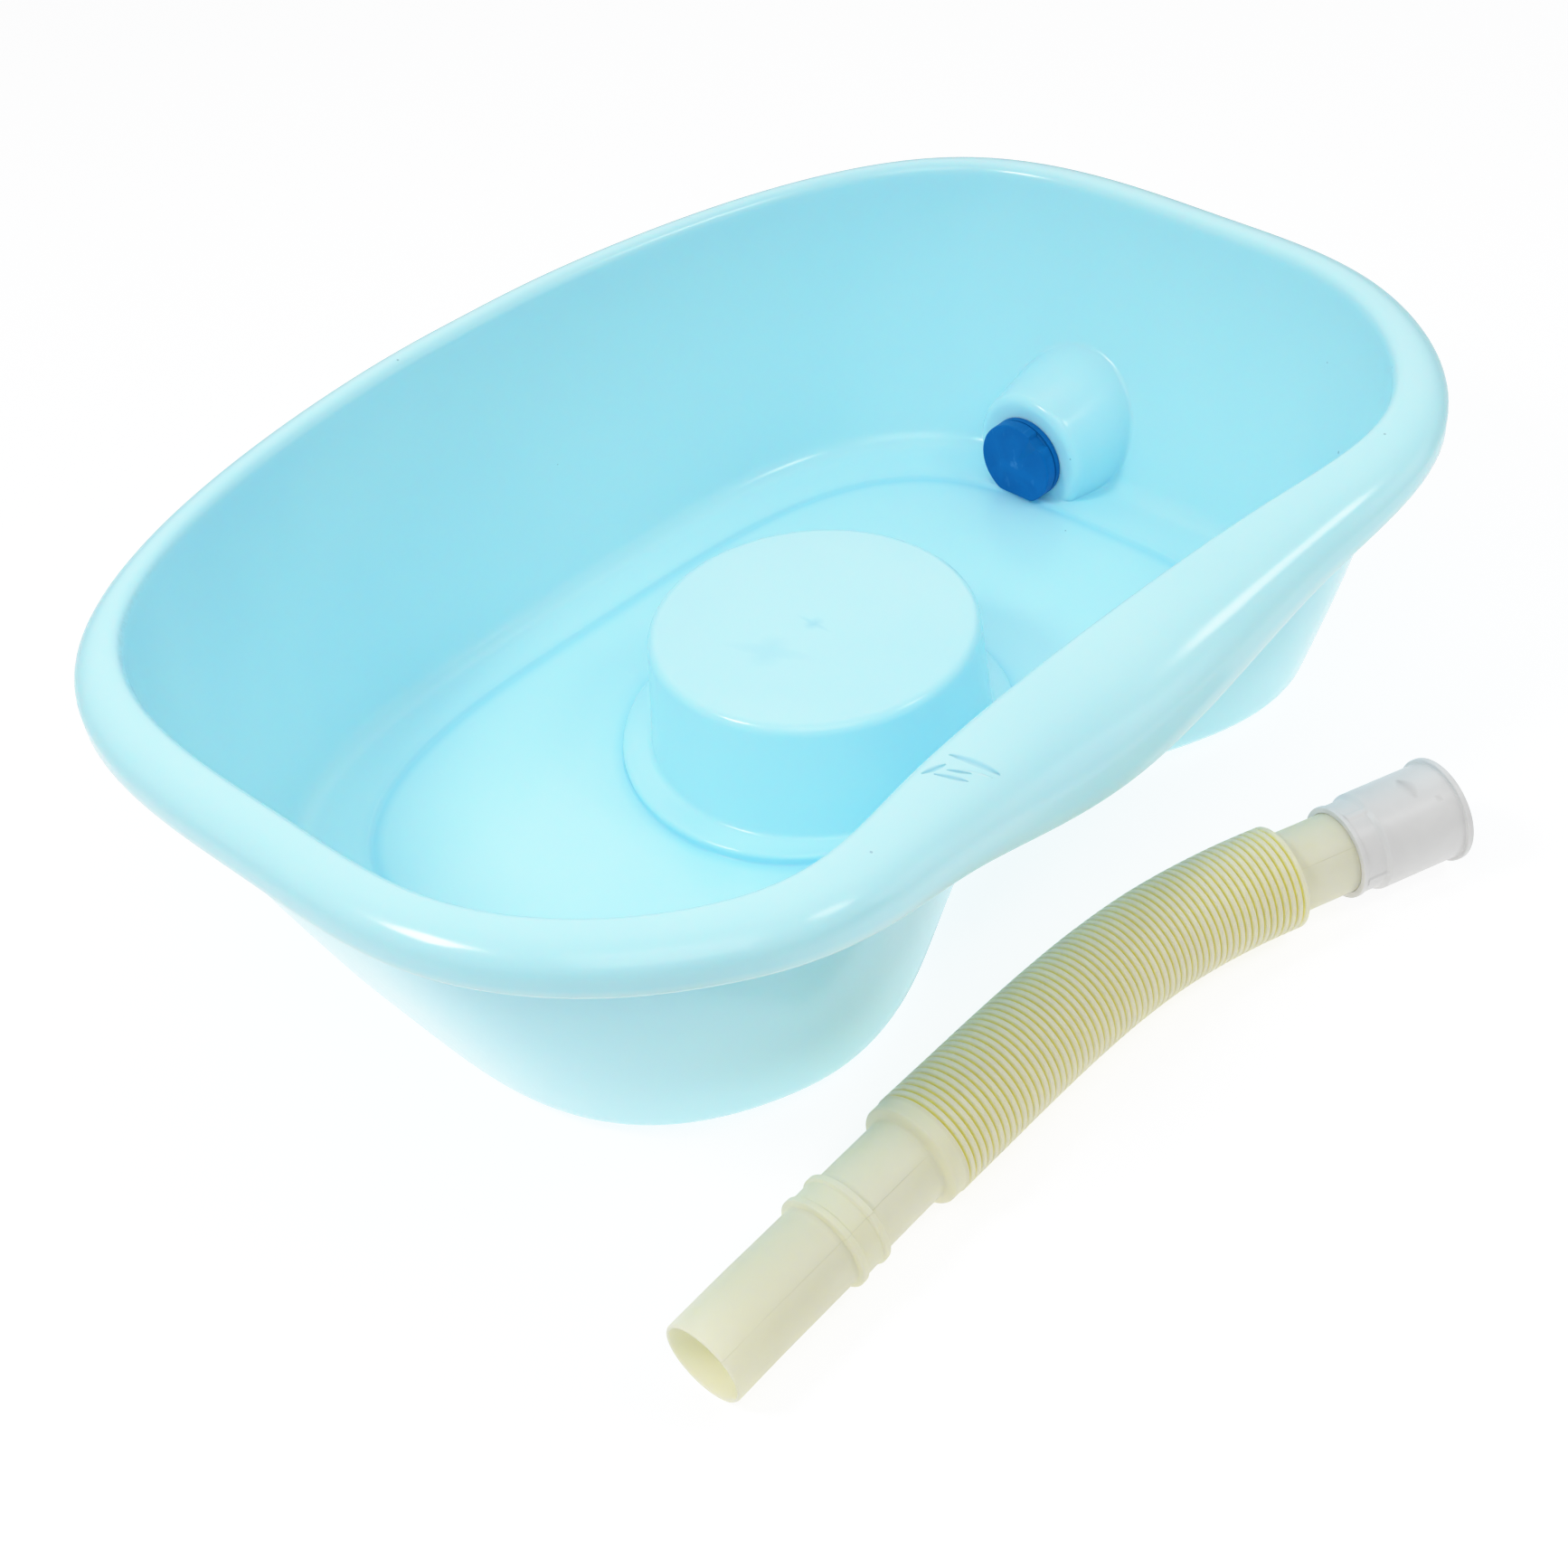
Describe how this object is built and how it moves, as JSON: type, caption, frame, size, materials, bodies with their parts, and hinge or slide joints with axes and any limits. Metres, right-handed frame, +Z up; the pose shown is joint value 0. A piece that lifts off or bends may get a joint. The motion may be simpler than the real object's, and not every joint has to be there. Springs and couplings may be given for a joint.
{
  "type": "portable shampoo basin",
  "caption": "Oval moulded hair-washing basin with a dipped neck rest, a raised head pedestal, a side drain with its push-in plug, and a ribbed drain hose with a push-on adapter.",
  "frame": {"origin": "middle of the tub's own box in plan, on the surface that it stands on", "axes": "+X along the tub towards its drain end, +Y from the neck rest to the back, +Z up"},
  "size_m": [0.568, 0.4845, 0.142],
  "materials": {
    "tub": "glossy pale blue injection-moulded polypropylene",
    "plug": "satin deep blue soft plastic",
    "hose": "cream translucent blow-moulded polyethylene",
    "adapter": "milky translucent moulded polyethylene"
  },
  "bodies": {
    "tub": {"basin_shell": "tub", "drain_hose": "hose"},
    "plug": {"drain_plug": "plug"},
    "adapter": {"hose_adapter": "adapter"}
  },
  "joints": [
    {"name": "plug_pull", "type": "slide", "parent": "tub", "child": "plug", "axis": [-1, 0, 0], "range_m": [0, 0.04]},
    {"name": "adapter_pull", "type": "slide", "parent": "tub", "child": "adapter", "axis": [0.939, -0.3437, 0.0102], "range_m": [0, 0.03]}
  ]
}
